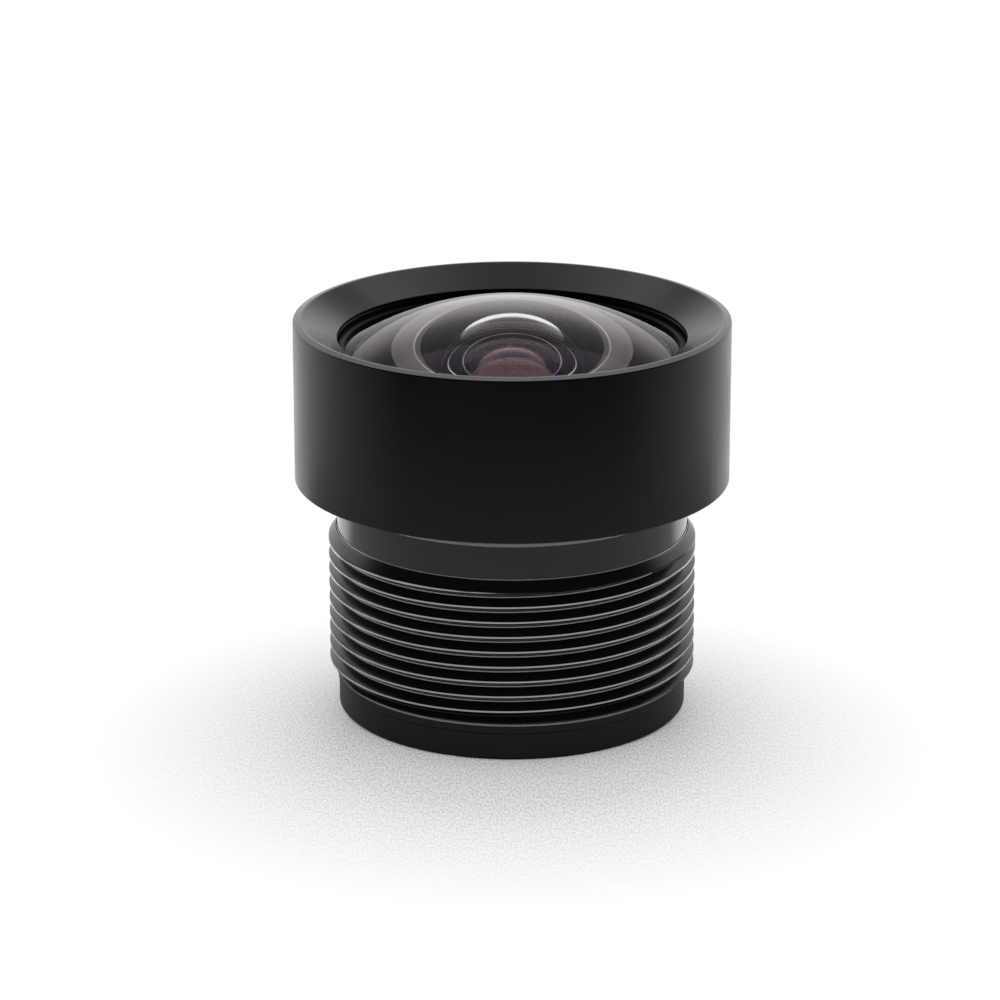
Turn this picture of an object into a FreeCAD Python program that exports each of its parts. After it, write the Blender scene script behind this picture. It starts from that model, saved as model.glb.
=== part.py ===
# M12 board camera lens with a fixed focus: a turned aluminium barrel with an M12 x 0.5 thread,
# and the glass, spacer rings, light baffles and retaining rings that are stacked inside it.
# Millimetres. The optical axis is +Z, and the rear face of the barrel stands on Z = 0.
import FreeCAD
import Part
import Sketcher
import math
import os
import re

# Driving dimensions
SIZES = {
    # Barrel, outside
    "head_overhang": 1.355,
    "rim_above_seat": 2.60,
    "head_bottom": 7.75,
    "rim_chamfer": 0.12,
    "head_edge_break": 0.04,
    "cone_depth": 0.63,
    "neck_radius": 5.72,
    "neck_flare_width": 0.50,
    "neck_flare_height": 0.55,
    "thread_radius": 6.00,
    "thread_top": 6.10,
    "thread_lead": 0.20,
    "thread_end_width": 0.22,
    "thread_end_height": 0.32,
    "pilot_radius": 5.70,
    "pilot_height": 1.22,
    "pilot_band_height": 0.30,
    "pilot_band_step": 0.025,
    "base_chamfer": 0.10,
    # Barrel, inside
    "front_bore": 5.645,
    "stack_bore": 4.55,
    "flange_opening": 3.40,
    "flange_thickness": 0.90,
    "rear_bore": 4.60,
    "rear_recess": 1.20,
    "fit_clearance": 0.03,
    # Front lens, its seal and its retaining ring
    "front_lens_curve": 10.20,
    "front_lens_back_curve": 2.80,
    "front_lens_back_opening": 2.60,
    "front_lens_edge": 1.475,
    "front_ring_opening": 5.40,
    "front_ring_height": 0.27,
    "front_ring_bevel": 0.06,
    "seal_inner": 4.98,
    "seal_width": 0.38,
    "seal_height": 0.30,
    # Light baffles and the aperture stop
    "baffle_thickness": 0.10,
    "front_baffle_opening": 2.65,
    "second_baffle_opening": 1.95,
    "rear_baffle_opening": 3.60,
    "stop_opening": 1.30,
    # Second lens
    "second_lens_edge": 0.90,
    "second_lens_curve": 4.90,
    "second_lens_opening": 2.35,
    "second_lens_back_curve": 3.00,
    "second_lens_back_opening": 1.60,
    # Third lens
    "third_lens_edge": 0.60,
    "third_lens_curve": 9.00,
    "third_lens_back_curve": 30.00,
    "third_lens_opening": 2.90,
    # Cemented doublet
    "flint_centre": 0.59,
    "flint_back_curve": 20.00,
    "flint_back_opening": 3.55,
    "cement_curve": 5.00,
    "crown_radius": 3.30,
    "crown_edge": 0.30,
    "crown_curve": 7.00,
    "crown_gap": 0.27,
    "crown_clearance": 0.15,
    # Rear lens
    "rear_lens_edge": 1.10,
    "rear_lens_curve": 7.50,
    "rear_lens_opening": 3.90,
    "rear_lens_back_curve": 9.00,
    "rear_lens_back_opening": 3.30,
    # Spacer rings
    "front_spacer_height": 0.35,
    "front_spacer_opening": 3.00,
    "stop_spacer_height": 0.25,
    "stop_spacer_opening": 3.00,
    "rear_spacer_height": 1.252,
    "rear_spacer_opening": 3.95,
    # Infrared filter, its gasket and the rear retaining ring
    "gasket_thickness": 0.10,
    "gasket_opening": 3.65,
    "filter_thickness": 0.40,
    "filter_edge_break": 0.05,
    "rear_ring_height": 0.45,
    "rear_ring_opening": 3.75,
    "rear_ring_bevel": 0.12,
    "spanner_slot_width": 0.80,
    "spanner_slot_depth": 0.22,
}

# Sizes of the doublet and of the ring around it, which follow from its curves
WORKED_OUT = {
    "cement_sag": "cement_curve - sqrt(cement_curve ^ 2 - crown_radius ^ 2)",
    "crown_sag": "crown_curve - sqrt(crown_curve ^ 2 - crown_radius ^ 2)",
    "flint_back_sag": "flint_back_curve - sqrt(flint_back_curve ^ 2 - flint_back_opening ^ 2)",
    "flint_edge": "cement_sag + flint_centre + flint_back_sag",
    "middle_spacer_height": "crown_edge + crown_sag + crown_gap",
    "middle_spacer_opening": "crown_radius + crown_clearance",
}


UP = FreeCAD.Vector(0, 0, 1)
CENTRE_BELOW = -1
CENTRE_ABOVE = 1


def bound(text):
    """Writes an expression in size names as one that reads the spreadsheet."""
    return re.sub(r"[a-z][a-z_]+", lambda name: "Sizes." + name.group(), text)


doc = FreeCAD.newDocument("M12BoardCameraLens")
sheet = doc.addObject("Spreadsheet::Sheet", "Sizes")
cells = {alias: str(value) for alias, value in SIZES.items()}
cells.update({alias: "=" + formula for alias, formula in WORKED_OUT.items()})
for row, (alias, content) in enumerate(cells.items(), start=1):
    sheet.set("A%d" % row, alias)
    sheet.set("B%d" % row, content)
    sheet.setAlias("B%d" % row, alias)
    doc.recompute()

# Heights of the stack, from the flange in the barrel up to the seat of the front lens
STACK = [
    ("rear_lens", "rear_lens_edge"),
    ("rear_spacer_ring", "rear_spacer_height"),
    ("rear_light_baffle", "baffle_thickness"),
    ("doublet_flint_lens", "flint_edge"),
    ("middle_spacer_ring", "middle_spacer_height"),
    ("aperture_stop", "baffle_thickness"),
    ("stop_spacer_ring", "stop_spacer_height"),
    ("third_lens", "third_lens_edge"),
    ("front_spacer_ring", "front_spacer_height"),
    ("second_light_baffle", "baffle_thickness"),
    ("second_meniscus_lens", "second_lens_edge"),
    ("front_light_baffle", "baffle_thickness"),
]
FLANGE_TOP = "rear_recess + flange_thickness"
BELOW = {}
ABOVE = {}
level = FLANGE_TOP
for node, height in STACK:
    BELOW[node] = level
    level = level + " + " + height
    ABOVE[node] = level
FRONT_SEAT = level
FRONT_EDGE = FRONT_SEAT + " + front_lens_edge"
HEAD_TOP = FRONT_SEAT + " + rim_above_seat"
HEAD_RADIUS = "neck_radius + head_overhang"
ELEMENT_RADIUS = "stack_bore - fit_clearance"
FRONT_ELEMENT_RADIUS = "front_bore - fit_clearance"

# Heights of the pieces behind the flange, from the flange down
GASKET_BELOW = "rear_recess - gasket_thickness"
FILTER_BELOW = GASKET_BELOW + " - filter_thickness"
REAR_RING_BELOW = FILTER_BELOW + " - rear_ring_height"
REAR_ELEMENT_RADIUS = "rear_bore - fit_clearance"


def value_of(text):
    """Works out an expression in size names with the numbers in the sheet."""
    return float(sheet.evalExpression(bound(text)))


def new_body(label):
    """Starts a sub-part under its own name."""
    body = doc.addObject("PartDesign::Body", label)
    body.Label = label
    return body


def origin_feature(body, role):
    """Gives one of the body's own origin planes or axes."""
    return [feature for feature in body.Origin.OriginFeatures if feature.Role == role][0]


def new_sketch(body, role, name):
    """Starts a sketch on one of the body's own origin planes."""
    sketch = body.newObject("Sketcher::SketchObject", name)
    sketch.AttachmentSupport = [(origin_feature(body, role), "")]
    sketch.MapMode = "FlatFace"
    return sketch


def point_of(corner):
    """Gives the sketch point of a corner, which is a distance from the axis and a height."""
    return FreeCAD.Vector(value_of(corner[0]), value_of(corner[1]), 0)


def bind(sketch, kind, where, text):
    """Adds a dimension that follows an expression in size names."""
    index = sketch.addConstraint(Sketcher.Constraint(kind, *where, value_of(text)))
    sketch.setExpression("Constraints[%d]" % index, bound(text))


def hold(sketch, edge, end, corner):
    """Holds one end of an edge at its distance from the axis and at its height."""
    for kind, text, axis in (("DistanceX", corner[0], -2), ("DistanceY", corner[1], -1)):
        if text == "0":
            sketch.addConstraint(Sketcher.Constraint("PointOnObject", edge, end, axis))
        else:
            bind(sketch, kind, (-1, 1, edge, end), text)


def draw_polygon(sketch, corners):
    """Draws a closed outline of straight edges through corners that the sheet holds."""
    points = [point_of(corner) for corner in corners]
    count = len(points)
    for index in range(count):
        sketch.addGeometry(Part.LineSegment(points[index], points[(index + 1) % count]))
    for index in range(count):
        sketch.addConstraint(Sketcher.Constraint("Coincident", index, 2, (index + 1) % count, 1))
    for index, corner in enumerate(corners):
        hold(sketch, index, 1, corner)


def draw_cap(sketch, rim, curve, side):
    """Draws a spherical surface's section, an arc centred on the axis, from its rim to its vertex."""
    wide = point_of(rim)
    radius = value_of(curve)
    centre = FreeCAD.Vector(0, wide.y + side * math.sqrt(radius ** 2 - wide.x ** 2), 0)
    rim_angle = math.atan2(wide.y - centre.y, wide.x)
    vertex_angle = -side * math.pi / 2
    circle = Part.Circle(centre, UP, radius)
    first = min(rim_angle, vertex_angle)
    last = max(rim_angle, vertex_angle)
    arc = sketch.addGeometry(Part.ArcOfCircle(circle, first, last))
    rim_end, vertex_end = (1, 2) if rim_angle < vertex_angle else (2, 1)
    sketch.addConstraint(Sketcher.Constraint("PointOnObject", arc, 3, -2))
    sketch.addConstraint(Sketcher.Constraint("PointOnObject", arc, vertex_end, -2))
    bind(sketch, "Radius", (arc,), curve)
    hold(sketch, arc, rim_end, rim)
    vertex = FreeCAD.Vector(0, centre.y - side * radius, 0)
    return arc, rim_end, vertex_end, vertex


def turn(body, sketch):
    """Turns a sketch once about the optical axis."""
    feature = body.newObject("PartDesign::Revolution", "Turned")
    feature.Profile = sketch
    feature.ReferenceAxis = (sketch, ["V_Axis"])
    feature.Angle = 360.0
    sketch.Visibility = False
    return feature


def turned_piece(label, corners):
    """Makes a turned ring or housing from a closed outline beside the axis."""
    body = new_body(label)
    sketch = new_sketch(body, "XZ_Plane", "Section")
    draw_polygon(sketch, corners)
    turn(body, sketch)
    return body


def flat_ring(label, below, above, opening, radius):
    """Makes a ring with flat faces and square edges, such as a spacer or a stamped foil."""
    corners = [(opening, below), (radius, below), (radius, above), (opening, above)]
    return turned_piece(label, corners)


def lens(label, below, above, radius, front, back):
    """Makes a round lens with a ground edge.

    The front and the back are each a curve radius, a clear opening and the side of the
    rim on which the curve's centre lies. Outside the opening the face is a flat seat,
    and a face whose opening is the lens's own radius has none.
    """
    body = new_body(label)
    sketch = new_sketch(body, "XZ_Plane", "Section")
    front_arc, front_rim, front_tip, front_vertex = draw_cap(sketch, (front[1], above), front[0], front[2])
    back_arc, back_rim, back_tip, back_vertex = draw_cap(sketch, (back[1], below), back[0], back[2])
    corners = []
    if back[1] != radius:
        corners.append((back[1], below))
    corners.append((radius, below))
    corners.append((radius, above))
    if front[1] != radius:
        corners.append((front[1], above))
    edges = []
    for start, end in zip(corners, corners[1:]):
        edges.append(sketch.addGeometry(Part.LineSegment(point_of(start), point_of(end))))
    for index in range(len(edges) - 1):
        sketch.addConstraint(Sketcher.Constraint("Coincident", edges[index], 2, edges[index + 1], 1))
        hold(sketch, edges[index], 2, corners[index + 1])
    sketch.addConstraint(Sketcher.Constraint("Coincident", back_arc, back_rim, edges[0], 1))
    sketch.addConstraint(Sketcher.Constraint("Coincident", edges[-1], 2, front_arc, front_rim))
    axis = sketch.addGeometry(Part.LineSegment(front_vertex, back_vertex))
    sketch.addConstraint(Sketcher.Constraint("Coincident", front_arc, front_tip, axis, 1))
    sketch.addConstraint(Sketcher.Constraint("Coincident", axis, 2, back_arc, back_tip))
    turn(body, sketch)
    return body


def barrel():
    """Makes the one-piece barrel: wide head, neck, screw shank and plain pilot, bored from both ends.

    The screw shank is a plain cylinder of the thread's crest radius.
    """
    groove_floor = FRONT_SEAT + " - seal_height"
    groove_inner = "seal_inner - fit_clearance"
    groove_outer = "seal_inner + seal_width + fit_clearance"
    band_radius = "pilot_radius + pilot_band_step"
    corners = [
        ("rear_bore", "0"),
        ("pilot_radius - base_chamfer", "0"),
        ("pilot_radius", "base_chamfer"),
        ("pilot_radius", "pilot_height - pilot_band_height"),
        (band_radius, "pilot_height - pilot_band_height"),
        (band_radius, "pilot_height"),
        ("thread_radius", "pilot_height + thread_lead"),
        ("thread_radius", "thread_top - thread_end_height"),
        ("thread_radius - thread_end_width", "thread_top"),
        ("neck_radius", "thread_top"),
        ("neck_radius", "head_bottom - neck_flare_height"),
        ("neck_radius + neck_flare_width", "head_bottom"),
        (HEAD_RADIUS + " - head_edge_break", "head_bottom"),
        (HEAD_RADIUS, "head_bottom + head_edge_break"),
        (HEAD_RADIUS, HEAD_TOP + " - rim_chamfer"),
        (HEAD_RADIUS + " - rim_chamfer", HEAD_TOP),
        ("front_bore", HEAD_TOP + " - cone_depth"),
        ("front_bore", FRONT_SEAT),
        (groove_outer, FRONT_SEAT),
        (groove_outer, groove_floor),
        (groove_inner, groove_floor),
        (groove_inner, FRONT_SEAT),
        ("stack_bore", FRONT_SEAT),
        ("stack_bore", FLANGE_TOP),
        ("flange_opening", FLANGE_TOP),
        ("flange_opening", "rear_recess"),
        ("rear_bore", "rear_recess"),
    ]
    return turned_piece("barrel", corners)


def front_group():
    """Makes the pieces in the wide bore of the head."""
    lens(
        "front_meniscus_lens",
        FRONT_SEAT,
        FRONT_EDGE,
        FRONT_ELEMENT_RADIUS,
        ("front_lens_curve", "front_ring_opening", CENTRE_BELOW),
        ("front_lens_back_curve", "front_lens_back_opening", CENTRE_BELOW),
    )
    ring_top = FRONT_EDGE + " + front_ring_height"
    corners = [
        ("front_ring_opening", FRONT_EDGE),
        (FRONT_ELEMENT_RADIUS, FRONT_EDGE),
        (FRONT_ELEMENT_RADIUS, ring_top),
        ("front_ring_opening + front_ring_bevel", ring_top),
        ("front_ring_opening", ring_top + " - front_ring_bevel"),
    ]
    turned_piece("front_retaining_ring", corners)
    seal_outer = "seal_inner + seal_width"
    seal_floor = FRONT_SEAT + " - seal_height"
    flat_ring("front_seal_ring", seal_floor, FRONT_SEAT, "seal_inner", seal_outer)


def stacked_lens(label, radius, front, back):
    """Makes a lens at its own place in the stack."""
    return lens(label, BELOW[label], ABOVE[label], radius, front, back)


def stacked_lenses():
    """Makes the lenses in the long bore, from the front to the rear."""
    stacked_lens(
        "second_meniscus_lens",
        ELEMENT_RADIUS,
        ("second_lens_curve", "second_lens_opening", CENTRE_BELOW),
        ("second_lens_back_curve", "second_lens_back_opening", CENTRE_BELOW),
    )
    stacked_lens(
        "third_lens",
        ELEMENT_RADIUS,
        ("third_lens_curve", "third_lens_opening", CENTRE_BELOW),
        ("third_lens_back_curve", "third_lens_opening", CENTRE_ABOVE),
    )
    stacked_lens(
        "doublet_flint_lens",
        ELEMENT_RADIUS,
        ("cement_curve", "crown_radius", CENTRE_ABOVE),
        ("flint_back_curve", "flint_back_opening", CENTRE_BELOW),
    )
    # The crown is smaller and is cemented into the flint's hollow
    crown_rim = ABOVE["doublet_flint_lens"]
    lens(
        "doublet_crown_lens",
        crown_rim,
        crown_rim + " + crown_edge",
        "crown_radius",
        ("crown_curve", "crown_radius", CENTRE_BELOW),
        ("cement_curve", "crown_radius", CENTRE_ABOVE),
    )
    stacked_lens(
        "rear_lens",
        ELEMENT_RADIUS,
        ("rear_lens_curve", "rear_lens_opening", CENTRE_BELOW),
        ("rear_lens_back_curve", "rear_lens_back_opening", CENTRE_ABOVE),
    )


def stacked_rings():
    """Makes the spacer rings, the light baffles and the aperture stop between the lenses."""
    openings = {
        "front_light_baffle": "front_baffle_opening",
        "second_light_baffle": "second_baffle_opening",
        "front_spacer_ring": "front_spacer_opening",
        "stop_spacer_ring": "stop_spacer_opening",
        "aperture_stop": "stop_opening",
        "middle_spacer_ring": "middle_spacer_opening",
        "rear_light_baffle": "rear_baffle_opening",
        "rear_spacer_ring": "rear_spacer_opening",
    }
    for label, opening in openings.items():
        flat_ring(label, BELOW[label], ABOVE[label], opening, ELEMENT_RADIUS)


def rear_group():
    """Makes the pieces in the recess behind the flange."""
    flat_ring("filter_gasket", GASKET_BELOW, "rear_recess", "gasket_opening", REAR_ELEMENT_RADIUS)
    corners = [
        ("0", FILTER_BELOW),
        (REAR_ELEMENT_RADIUS + " - filter_edge_break", FILTER_BELOW),
        (REAR_ELEMENT_RADIUS, FILTER_BELOW + " + filter_edge_break"),
        (REAR_ELEMENT_RADIUS, GASKET_BELOW + " - filter_edge_break"),
        (REAR_ELEMENT_RADIUS + " - filter_edge_break", GASKET_BELOW),
        ("0", GASKET_BELOW),
    ]
    turned_piece("infrared_cut_filter", corners)
    corners = [
        ("rear_ring_opening + rear_ring_bevel", REAR_RING_BELOW),
        (REAR_ELEMENT_RADIUS, REAR_RING_BELOW),
        (REAR_ELEMENT_RADIUS, FILTER_BELOW),
        ("rear_ring_opening", FILTER_BELOW),
        ("rear_ring_opening", REAR_RING_BELOW + " + rear_ring_bevel"),
    ]
    ring = turned_piece("rear_retaining_ring", corners)
    doc.recompute()
    whole_volume = ring.Shape.Volume
    # One channel straight across the ring's rear face makes both spanner slots
    sketch = new_sketch(ring, "XY_Plane", "SpannerSlots")
    sketch.setExpression("AttachmentOffset.Base.z", bound(REAR_RING_BELOW))
    half_length = value_of("rear_bore")
    half_width = value_of("spanner_slot_width") / 2
    corners = [
        FreeCAD.Vector(-half_length, -half_width, 0),
        FreeCAD.Vector(half_length, -half_width, 0),
        FreeCAD.Vector(half_length, half_width, 0),
        FreeCAD.Vector(-half_length, half_width, 0),
    ]
    for index in range(4):
        sketch.addGeometry(Part.LineSegment(corners[index], corners[(index + 1) % 4]))
    for index in range(4):
        sketch.addConstraint(Sketcher.Constraint("Coincident", index, 2, (index + 1) % 4, 1))
        direction = "Horizontal" if index % 2 == 0 else "Vertical"
        sketch.addConstraint(Sketcher.Constraint(direction, index))
    sketch.addConstraint(Sketcher.Constraint("Symmetric", 0, 1, 1, 2, -1, 1))
    bind(sketch, "DistanceX", (0, 1, 0, 2), "2 * rear_bore")
    bind(sketch, "DistanceY", (1, 1, 1, 2), "spanner_slot_width")
    pocket = ring.newObject("PartDesign::Pocket", "SpannerSlotCut")
    pocket.Profile = sketch
    pocket.Reversed = True
    pocket.Length = value_of("spanner_slot_depth")
    pocket.setExpression("Length", bound("spanner_slot_depth"))
    sketch.Visibility = False
    ring.Tip = pocket
    doc.recompute()
    if not ring.Shape.Volume < whole_volume:
        raise ValueError("The spanner slots cut nothing")


def check_and_write():
    """Checks every object and writes each sub-part to its own file."""
    doc.recompute()
    for item in doc.Objects:
        if "Invalid" in item.State or "Error" in item.State:
            raise ValueError("%s failed: %s" % (item.Label, item.State))
    os.makedirs("parts", exist_ok=True)
    for item in doc.Objects:
        if item.TypeId == "PartDesign::Body":
            shape = item.Shape
            if shape.isNull() or not shape.isValid() or len(shape.Solids) != 1:
                raise ValueError("%s is not one valid solid" % item.Label)
            shape.exportStep("parts/%s.step" % item.Label)
            print("%s %.3f mm3" % (item.Label, shape.Volume))


barrel()
front_group()
stacked_lenses()
stacked_rings()
rear_group()
check_and_write()
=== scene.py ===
# %% [markdown]
# # A small screw-in camera lens
#
# The lens is a black anodised barrel with a wide head, a short neck and a fine screw thread.
# Inside it a stack of lenses, spacer rings and thin light baffles is held by two retaining
# rings. The solid model already has every piece in its place, so this script only gives
# each one its fine shape and its finish.

# %% Load the solid model
import math

import bmesh
import bpy
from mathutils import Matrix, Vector


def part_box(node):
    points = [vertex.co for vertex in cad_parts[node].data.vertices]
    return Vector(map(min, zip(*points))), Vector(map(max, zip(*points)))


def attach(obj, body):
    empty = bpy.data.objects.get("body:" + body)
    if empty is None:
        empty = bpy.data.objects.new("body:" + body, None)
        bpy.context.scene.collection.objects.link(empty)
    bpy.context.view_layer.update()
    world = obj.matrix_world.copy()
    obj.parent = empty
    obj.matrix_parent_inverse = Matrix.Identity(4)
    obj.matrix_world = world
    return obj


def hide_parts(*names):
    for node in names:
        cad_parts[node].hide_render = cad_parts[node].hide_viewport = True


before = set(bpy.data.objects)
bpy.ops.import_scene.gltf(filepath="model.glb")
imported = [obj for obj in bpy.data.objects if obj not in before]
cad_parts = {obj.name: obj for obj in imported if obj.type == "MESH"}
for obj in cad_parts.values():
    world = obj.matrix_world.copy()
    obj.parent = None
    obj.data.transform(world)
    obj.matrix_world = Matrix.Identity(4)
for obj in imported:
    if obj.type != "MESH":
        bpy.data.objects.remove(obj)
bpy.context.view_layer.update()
MM = 0.001
print("nodes:", len(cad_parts))

# %% [markdown]
# Every height and radius that the solid model knows is read from it. The boxes of its nodes
# give their lowest and highest points and their widths, and the vertex nearest to the
# optical axis gives the opening of a ring. All these helpers answer in millimetres.


# %% Measure the nodes
def low(node):
    """Gives the height of a node's underside."""
    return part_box(node)[0][2] / MM


def high(node):
    """Gives the height of a node's top."""
    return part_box(node)[1][2] / MM


def outside(node):
    """Gives the outer radius of a round node."""
    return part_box(node)[1][0] / MM


def opening(node):
    """Gives the radius of a ring's hole."""
    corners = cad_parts[node].data.vertices
    return min(math.hypot(corner.co.x, corner.co.y) for corner in corners) / MM


HEAD_TOP = high("barrel")
HEAD_RADIUS = outside("barrel")
print("head: radius %.3f mm, top at %.3f mm" % (HEAD_RADIUS, HEAD_TOP))

# %% [markdown]
# ## Turned pieces
#
# Nearly everything in a lens is turned on a lathe. The same idea works here: an outline of a
# few corners beside the axis is spun once around it. Real turned edges are never perfectly
# sharp, so each corner of the outline is bevelled before it is spun. That costs two points a
# corner, where bevelling the finished solid would cost thousands of edges. Every long edge
# also gets a point close to both its ends, so that the smooth shading of a bevel doesn't
# spread over the flat face beside it.

# %% Outline and spin helpers
TURNED_STEPS = 256
WEDGES = 16
EDGE_BREAK = 0.012
HOLD_OVER = 0.08
HOLD_DISTANCE = 0.01
MERGE_DISTANCE = 0.0004
SLIVER_LENGTH = 0.0002
CREASE_DEGREES = 28.0


def hold_corners(mesh):
    """Adds a point near both ends of each long edge, so that flat faces stay flat to the light."""
    for edge in [edge for edge in mesh.edges if edge.calc_length() > HOLD_OVER * MM]:
        for end in edge.verts[:]:
            bmesh.utils.edge_split(edge, end, HOLD_DISTANCE * MM / edge.calc_length())


def add_outline(mesh, corners, closed, edge_break):
    """Draws an outline of (radius, height) corners and breaks its inner corners."""
    points = [mesh.verts.new((radius * MM, 0.0, height * MM)) for radius, height in corners]
    pairs = list(zip(points, points[1:]))
    if closed:
        pairs.append((points[-1], points[0]))
    for start, end in pairs:
        mesh.edges.new((start, end))
    broken = points if closed else points[1:-1]
    if edge_break > 0.0:
        bmesh.ops.bevel(mesh, geom=broken, offset=edge_break * MM, offset_type="OFFSET",
                        affect="VERTICES", segments=2, profile=0.5, material=-1)
    hold_corners(mesh)


def spin_once(mesh, steps=TURNED_STEPS, climb=0.0):
    """Spins all that a mesh holds once around the optical axis and closes the seams.

    One wedge is spun and then copied round, which is much quicker than one long spin.
    """
    slice_turn = math.tau / WEDGES
    bmesh.ops.spin(mesh, geom=mesh.verts[:] + mesh.edges[:], cent=(0, 0, 0), axis=(0, 0, 1),
                   dvec=(0, 0, climb * MM / steps), angle=slice_turn, steps=steps // WEDGES,
                   use_merge=False, use_duplicate=False)
    bmesh.ops.spin(mesh, geom=mesh.verts[:] + mesh.edges[:] + mesh.faces[:], cent=(0, 0, 0),
                   axis=(0, 0, 1), dvec=(0, 0, climb * MM / WEDGES), angle=math.tau - slice_turn,
                   steps=WEDGES - 1, use_merge=False, use_duplicate=True)
    bmesh.ops.remove_doubles(mesh, verts=mesh.verts[:], dist=MERGE_DISTANCE * MM)


def finish_piece(mesh, name, node, slot, *materials, crease=CREASE_DEGREES):
    """Makes an object of a mesh that stands for a node of the solid model."""
    bmesh.ops.dissolve_degenerate(mesh, dist=SLIVER_LENGTH * MM, edges=mesh.edges[:])
    bmesh.ops.recalc_face_normals(mesh, faces=mesh.faces[:])
    data = bpy.data.meshes.new(name)
    mesh.to_mesh(data)
    mesh.free()
    data.shade_smooth()
    data.set_sharp_from_angle(angle=math.radians(crease))
    piece = bpy.data.objects.new(name, data)
    bpy.context.scene.collection.objects.link(piece)
    for material in materials:
        data.materials.append(material)
    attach(piece, "root")
    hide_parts(node)
    print("%s: %d faces" % (name, len(data.polygons)))


# %% [markdown]
# ## Finishes
#
# Nearly all that shows is black: anodised aluminium outside, blackened rings and inked glass
# edges inside. Black things are told apart by their gloss, so the finishes differ mostly in
# roughness and in the marks of the tool that turned them. The marks run round the axis. A
# noise that reads only the distance from the axis and the height gives rings on a flat face
# and rings around a wall with the same nodes.

# %% Node helpers
def add_node(tree, kind, **settings):
    """Adds a node and sets its options and its inputs."""
    node = tree.nodes.new(kind)
    for key, value in settings.items():
        if key in node.inputs:
            node.inputs[key].default_value = value
        else:
            setattr(node, key, value)
    return node


def new_group(name, inputs, outputs):
    """Starts a shader node group with named inputs and outputs."""
    group = bpy.data.node_groups.new(name, "ShaderNodeTree")
    for label, value in inputs.items():
        socket = group.interface.new_socket(name=label, in_out="INPUT",
                                            socket_type="NodeSocketFloat")
        socket.default_value = value
    for label in outputs:
        group.interface.new_socket(name=label, in_out="OUTPUT", socket_type="NodeSocketFloat")
    return group, group.nodes.new("NodeGroupInput"), group.nodes.new("NodeGroupOutput")


def feed_per_mm(tree, value, target):
    """Feeds a value that is given per millimetre to a socket that wants it per metre."""
    per_metre = add_node(tree, "ShaderNodeMath", operation="MULTIPLY")
    per_metre.inputs[1].default_value = 1.0 / MM
    tree.links.new(value, per_metre.inputs[0])
    tree.links.new(per_metre.outputs[0], target)


def measure_place(tree):
    """Gives the sockets of a point's place, of its distance from the axis and of its height."""
    place = add_node(tree, "ShaderNodeTexCoord")
    split = add_node(tree, "ShaderNodeSeparateXYZ")
    across = add_node(tree, "ShaderNodeCombineXYZ")
    reach = add_node(tree, "ShaderNodeVectorMath", operation="LENGTH")
    tree.links.new(place.outputs["Object"], split.inputs[0])
    tree.links.new(split.outputs["X"], across.inputs["X"])
    tree.links.new(split.outputs["Y"], across.inputs["Y"])
    tree.links.new(across.outputs[0], reach.inputs[0])
    return place.outputs["Object"], reach.outputs["Value"], split.outputs["Z"]


# %% The turning-marks group
def build_turning_marks():
    """Fine rings from the lathe tool, as a height and as a slow change along the piece."""
    group, given, result = new_group("turning_marks", {"Fine": 30.0, "Broad": 3.0},
                                     ["Height", "Change"])
    place, reach, height = measure_place(group)
    section = add_node(group, "ShaderNodeCombineXYZ")
    fine = add_node(group, "ShaderNodeTexNoise", noise_dimensions="2D", Detail=3.0, Roughness=0.6)
    broad = add_node(group, "ShaderNodeTexNoise", noise_dimensions="2D", Detail=2.0, Roughness=0.5)
    link = group.links.new
    link(reach, section.inputs["X"])
    link(height, section.inputs["Y"])
    for noise, label in ((fine, "Fine"), (broad, "Broad")):
        link(section.outputs[0], noise.inputs["Vector"])
        feed_per_mm(group, given.outputs[label], noise.inputs["Scale"])
    link(fine.outputs[0], result.inputs["Height"])
    link(broad.outputs[0], result.inputs["Change"])
    return group


TURNING_MARKS = build_turning_marks()
print("group:", TURNING_MARKS.name)

# %% [markdown]
# Anodising leaves a skin of fine grains. It hardly shows as colour. What shows is that the
# gloss isn't the same everywhere, so a soft noise moves the roughness up and down a little.


# %% The anodised-grain group
def build_anodised_grain():
    """A fine even grain as a height, and slow cloudiness for the gloss."""
    group, given, result = new_group("anodised_grain", {"Grain": 40.0, "Cloud": 0.5},
                                     ["Height", "Cloudiness"])
    place = add_node(group, "ShaderNodeTexCoord")
    grain = add_node(group, "ShaderNodeTexNoise", Detail=2.0, Roughness=0.7)
    cloud = add_node(group, "ShaderNodeTexNoise", Detail=3.0, Roughness=0.55)
    link = group.links.new
    for noise, label in ((grain, "Grain"), (cloud, "Cloud")):
        link(place.outputs["Object"], noise.inputs["Vector"])
        feed_per_mm(group, given.outputs[label], noise.inputs["Scale"])
    link(grain.outputs[0], result.inputs["Height"])
    link(cloud.outputs[0], result.inputs["Cloudiness"])
    return group


ANODISED_GRAIN = build_anodised_grain()
print("group:", ANODISED_GRAIN.name)


# %% Black metal
CLOUD_LOW = 0.3
CLOUD_HIGH = 0.7
TINT_SPREAD = 0.2


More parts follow.
